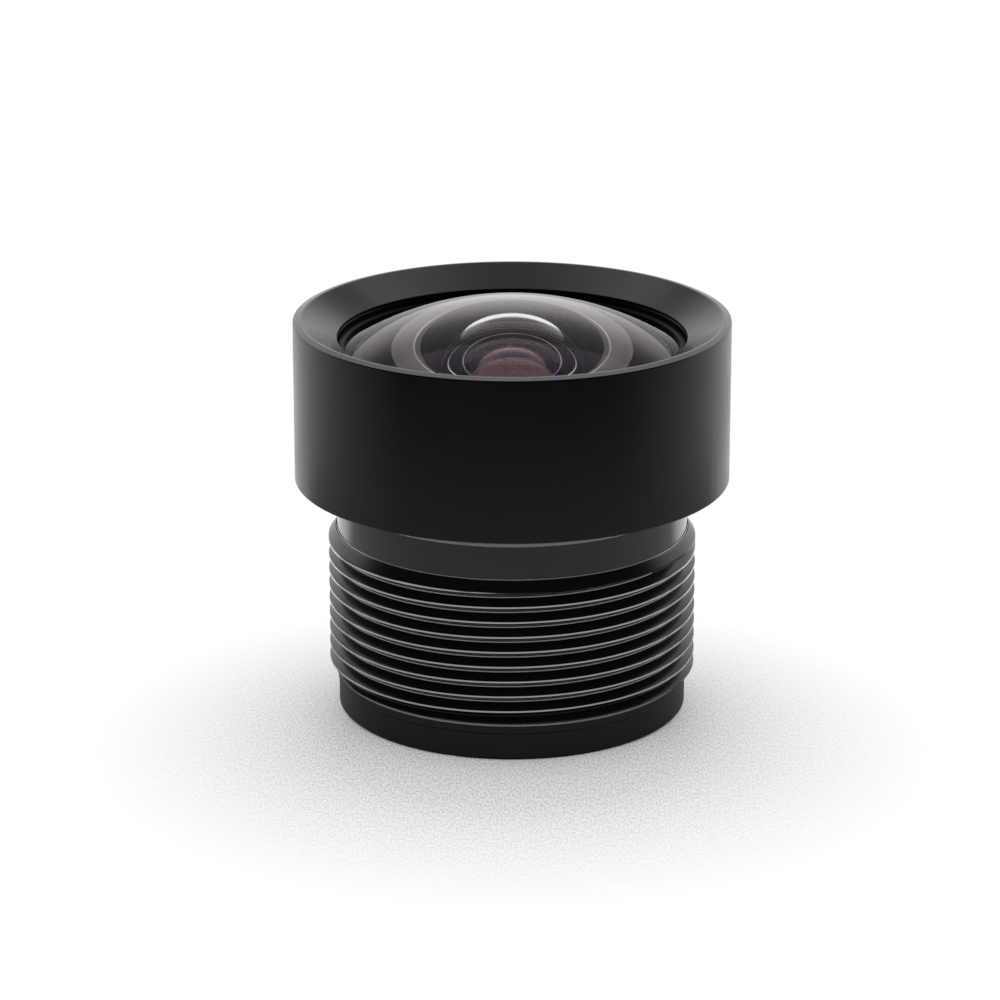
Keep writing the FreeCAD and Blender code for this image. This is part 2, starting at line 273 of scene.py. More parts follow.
def black_metal(name, colour, gloss_from, gloss_to, mark_depth, grain_depth, shine=0.5, metal=0.0):
    """Makes a turned metal. The two gloss values are its least and greatest roughness.

    The depths of its marks and grains are in millimetres.
    """
    material = bpy.data.materials.new(name)
    material.use_nodes = True
    tree = material.node_tree
    shader = tree.nodes["Principled BSDF"]
    shader.inputs["Specular IOR Level"].default_value = shine
    shader.inputs["Metallic"].default_value = metal
    marks = add_node(tree, "ShaderNodeGroup")
    marks.node_tree = TURNING_MARKS
    grain = add_node(tree, "ShaderNodeGroup")
    grain.node_tree = ANODISED_GRAIN
    gloss = add_node(tree, "ShaderNodeMapRange")
    gloss.inputs["From Min"].default_value = CLOUD_LOW
    gloss.inputs["From Max"].default_value = CLOUD_HIGH
    gloss.inputs["To Min"].default_value = gloss_from
    gloss.inputs["To Max"].default_value = gloss_to
    tint = add_node(tree, "ShaderNodeMix", data_type="RGBA")
    for label, share in (("A", 1.0 - TINT_SPREAD), ("B", 1.0 + TINT_SPREAD)):
        tint.inputs[label].default_value = (*[channel * share for channel in colour], 1.0)
    ridges = add_node(tree, "ShaderNodeBump", Distance=mark_depth * MM, Strength=1.0)
    grains = add_node(tree, "ShaderNodeBump", Distance=grain_depth * MM, Strength=1.0)
    link = tree.links.new
    link(grain.outputs["Cloudiness"], gloss.inputs["Value"])
    link(gloss.outputs["Result"], shader.inputs["Roughness"])
    link(marks.outputs["Change"], tint.inputs["Factor"])
    link(tint.outputs["Result"], shader.inputs["Base Color"])
    link(marks.outputs["Height"], ridges.inputs["Height"])
    link(grain.outputs["Height"], grains.inputs["Height"])
    link(ridges.outputs["Normal"], grains.inputs["Normal"])
    link(grains.outputs["Normal"], shader.inputs["Normal"])
    print("finish:", name)
    return material


ANODISED_FINISH = ((0.0022, 0.0022, 0.0025), 0.20, 0.28, 0.0004, 0.0002)
anodised = black_metal("black_anodised", *ANODISED_FINISH)
anodised_land = black_metal("black_anodised_land", *ANODISED_FINISH)
matt_bore = black_metal("matt_bore", (0.0015, 0.0015, 0.0016), 0.45, 0.55, 0.0008, 0.0004, shine=0.06)
ring_black = black_metal("ring_black", (0.002, 0.002, 0.0022), 0.30, 0.42, 0.0006, 0.0004, shine=0.06)
spacer_black = black_metal("spacer_black", (0.004, 0.004, 0.004), 0.42, 0.55, 0.0008, 0.0005, shine=0.2)
foil_black = black_metal("foil_black", (0.003, 0.003, 0.003), 0.55, 0.70, 0.0, 0.0006, shine=0.1)
edge_ink = black_metal("edge_ink", (0.001, 0.001, 0.001), 0.55, 0.65, 0.0, 0.0003, shine=0.0)
seal_rubber = black_metal("seal_rubber", (0.006, 0.006, 0.006), 0.60, 0.75, 0.0, 0.0008, shine=0.2)

# %% [markdown]
# The barrel's narrow edges carry painted highlights: the crests and the roots of the thread
# are made bright bare metal so that they shine as thin pale lines, and so are the edges of the
# pilot, the neck and the rim and the flare under the head. All of them are narrow bands of
# one radius and height, so one group that asks "is this point in the band?" serves them all.
# A little noise makes them ragged. The neck between the head and the thread gets no painted
# highlight but a polished coat.


# %% The ring-band group
def build_ring_band():
    """A mask that is 1 between two radii and two heights, with ragged borders."""
    inputs = {"Inner": 0.0, "Outer": 1.0, "Bottom": 0.0, "Top": 1.0, "Ragged": 0.0, "Amount": 1.0}
    group, given, result = new_group("ring_band", inputs, ["Mask"])
    place, reach, height = measure_place(group)
    rough = add_node(group, "ShaderNodeTexNoise", Scale=1400.0, Detail=4.0, Roughness=0.7)
    centred = add_node(group, "ShaderNodeMath", operation="SUBTRACT")
    centred.inputs[1].default_value = 0.5
    offset = add_node(group, "ShaderNodeMath", operation="MULTIPLY")
    link = group.links.new
    link(place, rough.inputs["Vector"])
    link(rough.outputs[0], centred.inputs[0])
    link(centred.outputs[0], offset.inputs[0])
    link(given.outputs["Ragged"], offset.inputs[1])
    mask = given.outputs["Amount"]
    for measured, label, kind in ((reach, "Inner", "GREATER_THAN"), (reach, "Outer", "LESS_THAN"),
                                  (height, "Bottom", "GREATER_THAN"), (height, "Top", "LESS_THAN")):
        in_mm = add_node(group, "ShaderNodeMath", operation="MULTIPLY_ADD")
        in_mm.inputs[1].default_value = 1.0 / MM
        inside = add_node(group, "ShaderNodeMath", operation=kind)
        product = add_node(group, "ShaderNodeMath", operation="MULTIPLY")
        link(measured, in_mm.inputs[0])
        link(offset.outputs[0], in_mm.inputs[2])
        link(in_mm.outputs[0], inside.inputs[0])
        link(given.outputs[label], inside.inputs[1])
        link(mask, product.inputs[0])
        link(inside.outputs[0], product.inputs[1])
        mask = product.outputs[0]
    link(mask, result.inputs["Mask"])
    return group


RING_BAND = build_ring_band()
print("group:", RING_BAND.name)


# %% Painted highlights on the barrel
BAND_LABELS = ("Inner", "Outer", "Bottom", "Top", "Ragged", "Amount")


def add_bands(tree, bands):
    """Adds ring bands to a material and gives the socket of the strongest one at each point."""
    strongest = None
    for values in bands:
        band = add_node(tree, "ShaderNodeGroup")
        band.node_tree = RING_BAND
        for label, value in zip(BAND_LABELS, values):
            band.inputs[label].default_value = value
        if strongest is None:
            strongest = band.outputs["Mask"]
            continue
        both = add_node(tree, "ShaderNodeMath", operation="MAXIMUM")
        tree.links.new(strongest, both.inputs[0])
        tree.links.new(band.outputs["Mask"], both.inputs[1])
        strongest = both.outputs[0]
    return strongest


def mix_by(tree, mask, before, after, data_type="FLOAT"):
    """Mixes what feeds a socket, or its value, towards another value by a mask."""
    mix = add_node(tree, "ShaderNodeMix", data_type=data_type)
    slots = [socket for socket in mix.inputs if socket.enabled]
    tree.links.new(mask, slots[0])
    slots[2].default_value = after
    if before.is_linked:
        tree.links.new(before.links[0].from_socket, slots[1])
    else:
        slots[1].default_value = before.default_value
    result = [socket for socket in mix.outputs if socket.enabled][0]
    tree.links.new(result, before)


# Painted highlights: these bands turn the black anodising into bright bare metal
CREST_BAND = (5.997, 6.05, 1.46, 5.76, 0.012, 1.0)
ROOT_BAND = (5.60, 5.6945, 1.60, 5.70, 0.004, 0.40)
FLARE_BAND = (5.722, 5.90, 7.20, 7.42, 0.0, 0.85)
PILOT_EDGE_BAND = (5.712, 5.76, 1.17, 1.26, 0.040, 0.20)
NECK_EDGE_BAND = (5.715, 5.745, 6.085, 6.125, 0.0, 0.30)
RIM_BAND = (6.79, 7.068, HEAD_TOP - 0.065, HEAD_TOP + 0.02, 0.0, 0.09)
NECK_BAND = (5.60, 5.95, 6.08, 7.30, 0.0, 1.0)
HIGHLIGHT_BANDS = [CREST_BAND, ROOT_BAND, FLARE_BAND, PILOT_EDGE_BAND, NECK_EDGE_BAND, RIM_BAND]
HIGHLIGHT_COLOUR = (0.95, 0.94, 0.93, 1.0)
HIGHLIGHT_ROUGHNESS = 0.25
POLISH_ROUGHNESS = 0.05

anodised_tree = anodised.node_tree
anodised_shader = anodised_tree.nodes["Principled BSDF"]
painted_highlight = add_bands(anodised_tree, HIGHLIGHT_BANDS)
polished = add_bands(anodised_tree, [NECK_BAND])
mix_by(anodised_tree, painted_highlight, anodised_shader.inputs["Base Color"], HIGHLIGHT_COLOUR, "RGBA")
mix_by(anodised_tree, painted_highlight, anodised_shader.inputs["Metallic"], 1.0)
mix_by(anodised_tree, painted_highlight, anodised_shader.inputs["Roughness"], HIGHLIGHT_ROUGHNESS)
anodised_tree.links.new(polished, anodised_shader.inputs["Coat Weight"])
anodised_shader.inputs["Coat Roughness"].default_value = POLISH_ROUGHNESS
print("worn bands on the barrel:", len(HIGHLIGHT_BANDS))

# %% [markdown]
# ## The screw barrel
#
# The thread is M12 with a pitch of half a millimetre: ridges with sides at 60 degrees, a
# narrow flat on their crests and a small round in their roots. One pitch of it is drawn as a
# zigzag beside the axis and repeated up the shank. A spin that also climbs by one pitch in
# its full turn makes the real helix, and because the zigzag repeats with the same pitch, the
# end of the spin meets its start one ridge higher and the seam closes.

# %% Thread values
PITCH = 0.5
CREST_RADIUS = 6.00
THREAD_DEPTH = 0.307
CREST_FLAT = 0.062
ROOT_WIDTH = 0.083
THREAD_TOP = 6.10
SHANK_BOTTOM = 1.22
PILOT_BAND_RADIUS = 5.725
LEAD_TOP = 1.42
FRONT_ROOT = 5.519
RUN_OUT_END = 90.0
RUN_OUT_LENGTH = 40.0
END_CHAMFER_WIDTH = 0.22
END_CHAMFER_HEIGHT = 0.32
END_CHAMFER_BOTTOM = THREAD_TOP - END_CHAMFER_HEIGHT
THREAD_STEPS = 288
ROOT_ROUND = 0.012
CREST_ROUND = 0.010
CREST_EASE = 0.006
FLANK_HOLD = 0.08
FLANK_CUTS = 7
SPARE_PITCHES = 4
PITCHES_ABOVE = 2
CUT_TOLERANCE = 0.0001
LEAD_ZONE_TOP = LEAD_TOP + 0.1
TOP_ZONE_BOTTOM = THREAD_TOP - PITCH * 2


def between(start, end, share):
    """Gives the point at a share of the way from one outline point to another."""
    return tuple(first + (last - first) * share for first, last in zip(start, end))


def ridge_points(root_height):
    """Gives one pitch of the thread's outline, from its root up to the next crest."""
    root_radius = CREST_RADIUS - THREAD_DEPTH
    half_root = ROOT_WIDTH / 2
    half_crest = CREST_FLAT / 2
    crest_height = root_height + PITCH / 2
    flank_start = (root_radius + ROOT_ROUND, root_height + half_root)
    flank_end = (CREST_RADIUS - CREST_ROUND, crest_height - half_crest - CREST_EASE)
    next_start = (CREST_RADIUS - CREST_ROUND, crest_height + half_crest + CREST_EASE)
    next_end = (root_radius + ROOT_ROUND, root_height + PITCH - half_root)
    return [
        (root_radius + ROOT_ROUND, root_height - half_root),
        (root_radius, root_height - half_root / 3),
        (root_radius, root_height + half_root / 3),
        flank_start,
        between(flank_start, flank_end, FLANK_HOLD),
        between(flank_start, flank_end, 1.0 - FLANK_HOLD),
        flank_end,
        (CREST_RADIUS, crest_height - half_crest + CREST_EASE),
        (CREST_RADIUS, crest_height + half_crest - CREST_EASE),
        next_start,
        between(next_start, next_end, FLANK_HOLD),
        between(next_start, next_end, 1.0 - FLANK_HOLD),
    ]


# %% Spin the helix
def spin_thread():
    """Spins the zigzag outline up the shank and gives the open thread surface."""
    mesh = bmesh.new()
    # The spin starts on the +X side, a quarter turn and so a quarter pitch past the front
    start_root = FRONT_ROOT + PITCH / 4
    count = int((THREAD_TOP - SHANK_BOTTOM) / PITCH) + SPARE_PITCHES
    corners = []
    for number in range(count, -1, -1):
        corners += ridge_points(start_root + (PITCHES_ABOVE - number) * PITCH)
    points = [mesh.verts.new((radius * MM, 0.0, height * MM)) for radius, height in corners]
    # Only the flanks near the ends get more points, for the run-out and the chamfers to move
    end_flanks = []
    for start, end in zip(points, points[1:]):
        edge = mesh.edges.new((start, end))
        at_an_end = not LEAD_ZONE_TOP * MM < start.co.z < TOP_ZONE_BOTTOM * MM
        if at_an_end and edge.calc_length() > HOLD_OVER * MM:
            end_flanks.append(edge)
    bmesh.ops.subdivide_edges(mesh, edges=end_flanks, cuts=FLANK_CUTS)
    spin_once(mesh, THREAD_STEPS, climb=PITCH)
    return mesh


# %% [markdown]
# The groove doesn't go on for ever. Just below the neck the cutting tool was drawn out, so
# the last groove grows shallow and ends, and the land above it is a plain band. A chamfer
# cuts the ridges down at the bottom, so that the lens starts easily in its holder, and a
# second one breaks the land's upper edge. All three are made by moving the thread's points
# in towards or out from the axis.


# %% Run-out and lead
def turn_from_front(place):
    """Gives how far round the axis a place is, in degrees from the front."""
    return (math.degrees(math.atan2(place.y, place.x)) + 90.0) % 360.0


def shape_thread_ends(mesh):
    """Fades the last groove and turns the chamfers at both ends."""
    lead_slope = (CREST_RADIUS - PILOT_BAND_RADIUS) / (LEAD_TOP - SHANK_BOTTOM)
    end_slope = END_CHAMFER_WIDTH / END_CHAMFER_HEIGHT
    for point in mesh.verts:
        radius = math.hypot(point.co.x, point.co.y) / MM
        height = point.co.z / MM
        turn = turn_from_front(point.co)
        pitches = (height - FRONT_ROOT) / PITCH - turn / 360.0
        travel = round(pitches) * 360.0 + turn
        left = (RUN_OUT_END - travel) / RUN_OUT_LENGTH
        keep = min(max(left, 0.0), 1.0)
        # Eased at both ends, so that the groove fades without a corner
        keep = keep * keep * (3.0 - 2.0 * keep)
        new_radius = CREST_RADIUS - (CREST_RADIUS - radius) * keep
        lead_radius = PILOT_BAND_RADIUS + (height - SHANK_BOTTOM) * lead_slope
        end_radius = CREST_RADIUS - (height - END_CHAMFER_BOTTOM) * end_slope
        new_radius = min(new_radius, max(lead_radius, CREST_RADIUS - THREAD_DEPTH), end_radius)
        scale = new_radius / radius
        point.co.x *= scale
        point.co.y *= scale


def cut_at(mesh, height, keep_above):
    """Cuts a mesh level at a height, drops one side and gives the edges of the cut."""
    direction = -1.0 if keep_above else 1.0
    geometry = mesh.verts[:] + mesh.edges[:] + mesh.faces[:]
    cut = bmesh.ops.bisect_plane(mesh, geom=geometry, dist=CUT_TOLERANCE * MM,
                                 plane_co=(0, 0, height * MM), plane_no=(0, 0, direction),
                                 clear_outer=True)
    return [item for item in cut["geom_cut"] if isinstance(item, bmesh.types.BMEdge)]


thread = spin_thread()
shape_thread_ends(thread)
cut_at(thread, THREAD_TOP, keep_above=False)
cut_at(thread, SHANK_BOTTOM, keep_above=True)
print("thread faces:", len(thread.faces))

# %% [markdown]
# The rest of the barrel is plain turning: neck, flared underside, head, the sloped funnel
# around the front glass, the bores and the short pilot below the thread. Its outline starts
# where the thread's top face ends and runs all the way round to the thread's lower end.
# Then the open rims of the two surfaces are bridged to each other.

# %% Barrel values
NECK_RADIUS = 5.72
FLARE_BOTTOM = 7.20
FLARE_RADIUS = 6.22
HEAD_BOTTOM = 7.75
HEAD_EDGE_BREAK = 0.04
RIM_CHAMFER = 0.12
RIM_SLOPE_START = 0.21
RIM_SLOPE_END = 0.01
RIM_SLOPE_HEIGHT = 0.06
RIM_LAND = 0.06
RIM_LAND_FALL = 0.004
CONE_DEPTH = 0.63
CONE_FOOT = HEAD_TOP - CONE_DEPTH
FRONT_BORE = 5.645
BORE_LINE_DOWN = 0.07
BORE_LINE_HALF = 0.03
BORE_LINE_DEPTH = 0.035
FRONT_SEAT = low("front_meniscus_lens")
SEAL_FLOOR = low("front_seal_ring")
SEAL_PLAY = 0.03
GROOVE_OUTER = outside("front_seal_ring") + SEAL_PLAY
GROOVE_INNER = opening("front_seal_ring") - SEAL_PLAY
STACK_BORE = 4.55
FLANGE_TOP = low("rear_lens")
FLANGE_OPENING = opening("barrel")
REAR_RECESS = high("filter_gasket")
REAR_BORE = 4.60
PILOT_RADIUS = 5.70
PILOT_BAND_BOTTOM = 0.92
BASE_CHAMFER = 0.10
STEP_EASE = 0.02

barrel_outline = [
    (NECK_RADIUS + STEP_EASE, THREAD_TOP),
    (NECK_RADIUS, THREAD_TOP + STEP_EASE),
    (NECK_RADIUS, FLARE_BOTTOM),
    (FLARE_RADIUS, HEAD_BOTTOM),
    (HEAD_RADIUS - HEAD_EDGE_BREAK, HEAD_BOTTOM),
    (HEAD_RADIUS, HEAD_BOTTOM + HEAD_EDGE_BREAK),
    (HEAD_RADIUS, HEAD_TOP - RIM_CHAMFER),
    (HEAD_RADIUS - RIM_SLOPE_END, HEAD_TOP - RIM_SLOPE_HEIGHT),
    (HEAD_RADIUS - RIM_SLOPE_START, HEAD_TOP),
    (HEAD_RADIUS - RIM_SLOPE_START - RIM_LAND, HEAD_TOP - RIM_LAND_FALL),
    (FRONT_BORE, CONE_FOOT),
    (FRONT_BORE, CONE_FOOT - BORE_LINE_DOWN),
    (FRONT_BORE + BORE_LINE_DEPTH, CONE_FOOT - BORE_LINE_DOWN - BORE_LINE_HALF),
    (FRONT_BORE, CONE_FOOT - BORE_LINE_DOWN - 2 * BORE_LINE_HALF),
    (FRONT_BORE, FRONT_SEAT),
    (GROOVE_OUTER, FRONT_SEAT),
    (GROOVE_OUTER, SEAL_FLOOR),
    (GROOVE_INNER, SEAL_FLOOR),
    (GROOVE_INNER, FRONT_SEAT),
    (STACK_BORE, FRONT_SEAT),
    (STACK_BORE, FLANGE_TOP),
    (FLANGE_OPENING, FLANGE_TOP),
    (FLANGE_OPENING, REAR_RECESS),
    (REAR_BORE, REAR_RECESS),
    (REAR_BORE, 0.0),
    (PILOT_RADIUS - BASE_CHAMFER, 0.0),
    (PILOT_RADIUS, BASE_CHAMFER),
    (PILOT_RADIUS, PILOT_BAND_BOTTOM - STEP_EASE),
    (PILOT_RADIUS - STEP_EASE, PILOT_BAND_BOTTOM - STEP_EASE / 2),
    (PILOT_BAND_RADIUS, PILOT_BAND_BOTTOM),
    (PILOT_BAND_RADIUS, SHANK_BOTTOM - STEP_EASE),
]
print("barrel outline: %d corners" % len(barrel_outline))


# %% Join the thread to the barrel
RIM_REACH = 0.03


def open_rim(mesh, height):
    """Gives the boundary edges that lie near a height."""
    return [edge for edge in mesh.edges if edge.is_boundary
            and all(abs(point.co.z / MM - height) < RIM_REACH for point in edge.verts)]


body = bmesh.new()
add_outline(body, barrel_outline, closed=False, edge_break=EDGE_BREAK)
spin_once(body, THREAD_STEPS)
spun = bpy.data.meshes.new("barrel_turned")
body.to_mesh(spun)
body.free()
thread.from_mesh(spun)
bpy.data.meshes.remove(spun)
for level in (THREAD_TOP, SHANK_BOTTOM):
    rims = open_rim(thread, level)
    bridged = bmesh.ops.bridge_loops(thread, edges=rims)
    print("rim at %.2f mm: %d edges, %d faces" % (level, len(rims), len(bridged["faces"])))

# %% [markdown]
# The barrel has three finishes. The bores are blackened again, matt, so that they don't throw
# light into the picture. Above the last groove the shank is a plain band whose painted
# highlight shows only along its lower edge, so the rest of the band gets the same anodising
# without the painted highlight bands.

# %% Finishes of the barrel
FINISH_MARGIN = 0.02
SHANK_SKIN = (CREST_RADIUS - 0.03, CREST_RADIUS + 0.01)
MATT_FACE = 1
LAND_FACE = 2

for face in thread.faces:
    centre = face.calc_center_median()
    reach, height = math.hypot(centre.x, centre.y) / MM, centre.z / MM
    if reach < FRONT_BORE + FINISH_MARGIN and height > FINISH_MARGIN:
        face.material_index = MATT_FACE
    turn = turn_from_front(centre)
    last_crest = FRONT_ROOT - PITCH / 2 + turn / 360.0 * PITCH
    past_groove = turn > RUN_OUT_END - RUN_OUT_LENGTH and height > last_crest + CREST_FLAT / 2
    if past_groove and SHANK_SKIN[0] < reach < SHANK_SKIN[1]:
        face.material_index = LAND_FACE
finish_piece(thread, "threaded_barrel", "barrel", "black_anodised_aluminium",
             anodised, matt_bore, anodised_land)

# %% [markdown]
# ## Rings, spacers and baffles
#
# The retaining rings and the spacers are short tubes, and the baffles are thin foils with a
# round hole. Each one is turned from an outline that takes its place from the solid model.


# %% Plain rings
CONTACT_GAP = 0.004
SPACER_EDGE = 0.03
FOIL_EDGE = 0.01
SEAL_EDGE = 0.06
FOILS = ("front_light_baffle", "second_light_baffle", "rear_light_baffle", "aperture_stop",
         "filter_gasket")


def ring_outline(node):
    """Gives the outline of a square-edged ring in a node's place, a hair clear of what it touches."""
    inner, outer = opening(node), outside(node)
    bottom, top = low(node) + CONTACT_GAP, high(node) - CONTACT_GAP
    return [(inner, bottom), (outer, bottom), (outer, top), (inner, top)]


def turned_ring(node, slot, material, edge_break):
    """Turns a ring in the place of a node."""
    mesh = bmesh.new()
    add_outline(mesh, ring_outline(node), closed=True, edge_break=edge_break)
    spin_once(mesh)
    finish_piece(mesh, node + "_turned", node, slot, material)


for spacer in ("front_spacer_ring", "stop_spacer_ring", "middle_spacer_ring", "rear_spacer_ring"):
    turned_ring(spacer, "black_spacer_aluminium", spacer_black, SPACER_EDGE)
for foil in FOILS:
    turned_ring(foil, "blackened_foil", foil_black, FOIL_EDGE)
turned_ring("front_seal_ring", "seal_rubber", seal_rubber, SEAL_EDGE)

# %% [markdown]
# The front retaining ring has a bevel around its hole, where it meets the glass. The rear
# one has two slots for a pin spanner, and its solid model is already exact, so that node
# stays and only gets its finish.

# %% Retaining rings
FRONT_RING_BEVEL = 0.06
front_ring = bmesh.new()
inner, outer = opening("front_retaining_ring"), outside("front_retaining_ring")
bottom, top = low("front_retaining_ring"), high("front_retaining_ring")
front_ring_outline = [(inner, bottom), (outer, bottom), (outer, top), (inner + FRONT_RING_BEVEL, top),
                      (inner, top - FRONT_RING_BEVEL)]
add_outline(front_ring, front_ring_outline, closed=True, edge_break=EDGE_BREAK)
spin_once(front_ring)
finish_piece(front_ring, "front_ring_turned", "front_retaining_ring", "blackened_ring_aluminium",
             ring_black)

rear_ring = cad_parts["rear_retaining_ring"]
rear_ring.data.materials.clear()
rear_ring.data.materials.append(ring_black)

# %% [markdown]
# ## Lenses
#
# A lens is ground and polished to two spheres, and its rim is ground round and painted with
# black ink, so that no stray light comes through it. The outline of a polished face is an
# arc: a point on the axis is swung about the centre of the sphere. Flat seats and the rim
# are straight. The glass really refracts here, so what shows inside is bent as in the real
# lens. The front glass also has a sheen that paints a white highlight along its edge.


# %% Glass
COATING_INDEX = 1.38
WHITE = (1.0, 1.0, 1.0)
GLASS_INDEX = 1.60
FILTER_INDEX = 1.50


def optical_glass(name, colour, index, specular, film, tint=WHITE):
    """Makes polished glass with a coating, in nanometres, that colours its reflection."""
    material = bpy.data.materials.new(name)
    material.use_nodes = True
    shader = material.node_tree.nodes["Principled BSDF"]
    shader.inputs["Base Color"].default_value = (*colour, 1.0)
    shader.inputs["Roughness"].default_value = 0.0
    shader.inputs["IOR"].default_value = index
    shader.inputs["Transmission Weight"].default_value = 1.0
    shader.inputs["Specular IOR Level"].default_value = specular
    shader.inputs["Specular Tint"].default_value = (*tint, 1.0)
    shader.inputs["Thin Film Thickness"].default_value = film
    shader.inputs["Thin Film IOR"].default_value = COATING_INDEX
    print("glass:", name)
    return material


front_glass = optical_glass("front_glass", WHITE, GLASS_INDEX, specular=0.70, film=119.0)
front_shader = front_glass.node_tree.nodes["Principled BSDF"]
# The sheen is a painted highlight that whitens the front glass's edge
front_shader.inputs["Sheen Weight"].default_value = 1.0
front_shader.inputs["Sheen Roughness"].default_value = 0.28
inner_glass = optical_glass("inner_glass", (1.0, 0.86, 0.90), GLASS_INDEX, specular=0.5,
                            film=114.0)
filter_glass = optical_glass("filter_glass", (0.75, 0.95, 0.93), FILTER_INDEX, specular=0.5,
                             film=0.0, tint=(1.0, 0.8, 0.8))
# Ground glass behind a clear one only shows if it mirrors light, so both are made as metals
bare_ground = black_metal("bare_ground", (0.42, 0.38, 0.40), 0.45, 0.55, 0.0, 0.0004, metal=1.0)
# The bright ring where a seat meets its polished face is a painted highlight
painted_highlight_edge = black_metal("painted_highlight_edge", (0.85, 0.84, 0.86), 0.30, 0.40, 0.0, 0.0004, metal=1.0)

# %% Lens maker
ARC_STEPS = 40
CENTRE_BELOW = -1
CENTRE_ABOVE = 1
ELEMENT_RADIUS = outside("second_meniscus_lens")
EDGE_LINE = 0.035
RIM_SKIN = 0.002
FLAT_NORMAL = 0.9999
LENS_CREASE = 12.0
GLASS_FACE, INK_FACE, BARE_FACE, HIGHLIGHT_FACE = range(4)


def swing_face(mesh, curve, reach, rim_height, side):
    """Swings a polished face's arc from the axis out and gives the point at its rim."""
    drop = math.sqrt(curve ** 2 - reach ** 2)
    centre = rim_height + side * drop
    tip = mesh.verts.new((0.0, 0.0, (centre - side * curve) * MM))
    angle = -side * math.asin(reach / curve)
    swung = bmesh.ops.spin(mesh, geom=[tip], cent=(0, 0, centre * MM), axis=(0, 1, 0),
                           dvec=(0, 0, 0), angle=angle, steps=ARC_STEPS, use_merge=False,
                           use_duplicate=False)
    last = [item for item in swung["geom_last"] if isinstance(item, bmesh.types.BMVert)][0]
    print("  face from %.3f to %.3f mm" % (tip.co.z / MM, last.co.z / MM))
    return last


def ground_lens(node, slot, glass, low_rim, high_rim, radius, front, back, ink_from=0.0):
    """Makes a lens with inked rim and seats.

    Each face is its curve, its clear radius and the side of its centre. A fine ring of bright
    metal, a painted highlight, is laid where a seat meets its polished face. Where the ink on
    the lower seat only starts further out, the ground glass inside it is bare.
    """
    mesh = bmesh.new()
    front_rim = swing_face(mesh, front[0], front[1], high_rim, front[2])
    back_rim = swing_face(mesh, back[0], back[1], low_rim, back[2])
    chain = [front_rim]
    if front[1] < radius:
        chain.append(mesh.verts.new(((front[1] + EDGE_LINE) * MM, 0.0, high_rim * MM)))
        chain.append(mesh.verts.new((radius * MM, 0.0, high_rim * MM)))
    if back[1] < radius:
        chain.append(mesh.verts.new((radius * MM, 0.0, low_rim * MM)))
    if ink_from > back[1]:
        chain.append(mesh.verts.new((ink_from * MM, 0.0, low_rim * MM)))
    if back[1] < radius:
        chain.append(mesh.verts.new(((back[1] + EDGE_LINE) * MM, 0.0, low_rim * MM)))
    chain.append(back_rim)
    for start, end in zip(chain, chain[1:]):
        mesh.edges.new((start, end))
    spin_once(mesh)
    bmesh.ops.recalc_face_normals(mesh, faces=mesh.faces[:])
    for face in mesh.faces:
        centre = face.calc_center_median()
        reach = math.hypot(centre.x, centre.y) / MM
        rim = reach > radius - RIM_SKIN
        seat = abs(face.normal.z) > FLAT_NORMAL and reach > min(front[1], back[1])
        face.material_index = INK_FACE if rim or seat else GLASS_FACE
        if seat and reach < ink_from:
            face.material_index = BARE_FACE
        clear = front[1] if centre.z / MM > (low_rim + high_rim) / 2 else back[1]
        # Painted highlight: a thin bright ring along the seat's inner edge
        if seat and reach < clear + EDGE_LINE:
            face.material_index = HIGHLIGHT_FACE
    finish_piece(mesh, node + "_ground", node, slot, glass, edge_ink, bare_ground, painted_highlight_edge,
                 crease=LENS_CREASE)


# %% Front lens
DOME_FACE = (10.20, 5.40, CENTRE_BELOW)
HOLLOW_FACE = (2.80, 2.60, CENTRE_BELOW)
FRONT_LENS_INK = 3.27
ground_lens("front_meniscus_lens", "coated_front_glass", front_glass, FRONT_SEAT,
            low("front_retaining_ring"), outside("front_meniscus_lens"), DOME_FACE, HOLLOW_FACE,
            ink_from=FRONT_LENS_INK)

# %% [markdown]
# Five smaller lenses stand in the long bore behind the front one. Two of them are cemented to
# each other and so share a curve. A hair of space is left between the two, because faces in
# exactly the same place would flicker in a render.

# %% Lenses in the long bore
CEMENT_GAP = 0.004
CEMENTED_FACE = (5.00, 3.30, CENTRE_ABOVE)
CROWN_EDGE = 0.30
crown_rim = low("middle_spacer_ring") + CEMENT_GAP

# Each row has a node, the heights of its lower and upper rim, its radius and its two faces
BORE_LENSES = [
    ("second_meniscus_lens", high("second_light_baffle"), low("front_light_baffle"), ELEMENT_RADIUS,
     (4.90, 2.35, CENTRE_BELOW), (3.00, 1.60, CENTRE_BELOW)),
    ("third_lens", high("stop_spacer_ring"), low("front_spacer_ring"), ELEMENT_RADIUS,
     (9.00, 2.90, CENTRE_BELOW), (30.00, 2.90, CENTRE_ABOVE)),
    ("doublet_flint_lens", high("rear_light_baffle"), low("middle_spacer_ring"), ELEMENT_RADIUS,
     CEMENTED_FACE, (20.00, 3.55, CENTRE_BELOW)),
    ("doublet_crown_lens", crown_rim, crown_rim + CROWN_EDGE, outside("doublet_crown_lens"),
     (7.00, 3.30, CENTRE_BELOW), CEMENTED_FACE),
    ("rear_lens", low("rear_lens"), low("rear_spacer_ring"), ELEMENT_RADIUS,
     (7.50, 3.90, CENTRE_BELOW), (9.00, 3.30, CENTRE_ABOVE)),
]
for node, low_rim, high_rim, radius, front, back in BORE_LENSES:
    ground_lens(node, "coated_optical_glass", inner_glass, low_rim, high_rim, radius, front, back)

# %% [markdown]
# The infrared filter is a flat round plate behind the flange. It has no polished sphere, so
# it is turned like a ring without a hole.

# %% Infrared filter
FILTER_EDGE = 0.05
plate = bmesh.new()
reach = outside("infrared_cut_filter")
bottom, top = low("infrared_cut_filter"), high("infrared_cut_filter")
plate_outline = [(0.0, bottom), (reach, bottom), (reach, top), (0.0, top)]
add_outline(plate, plate_outline, closed=False, edge_break=FILTER_EDGE)
spin_once(plate)
finish_piece(plate, "infrared_filter_plate", "infrared_cut_filter", "infrared_filter_glass",
             filter_glass)
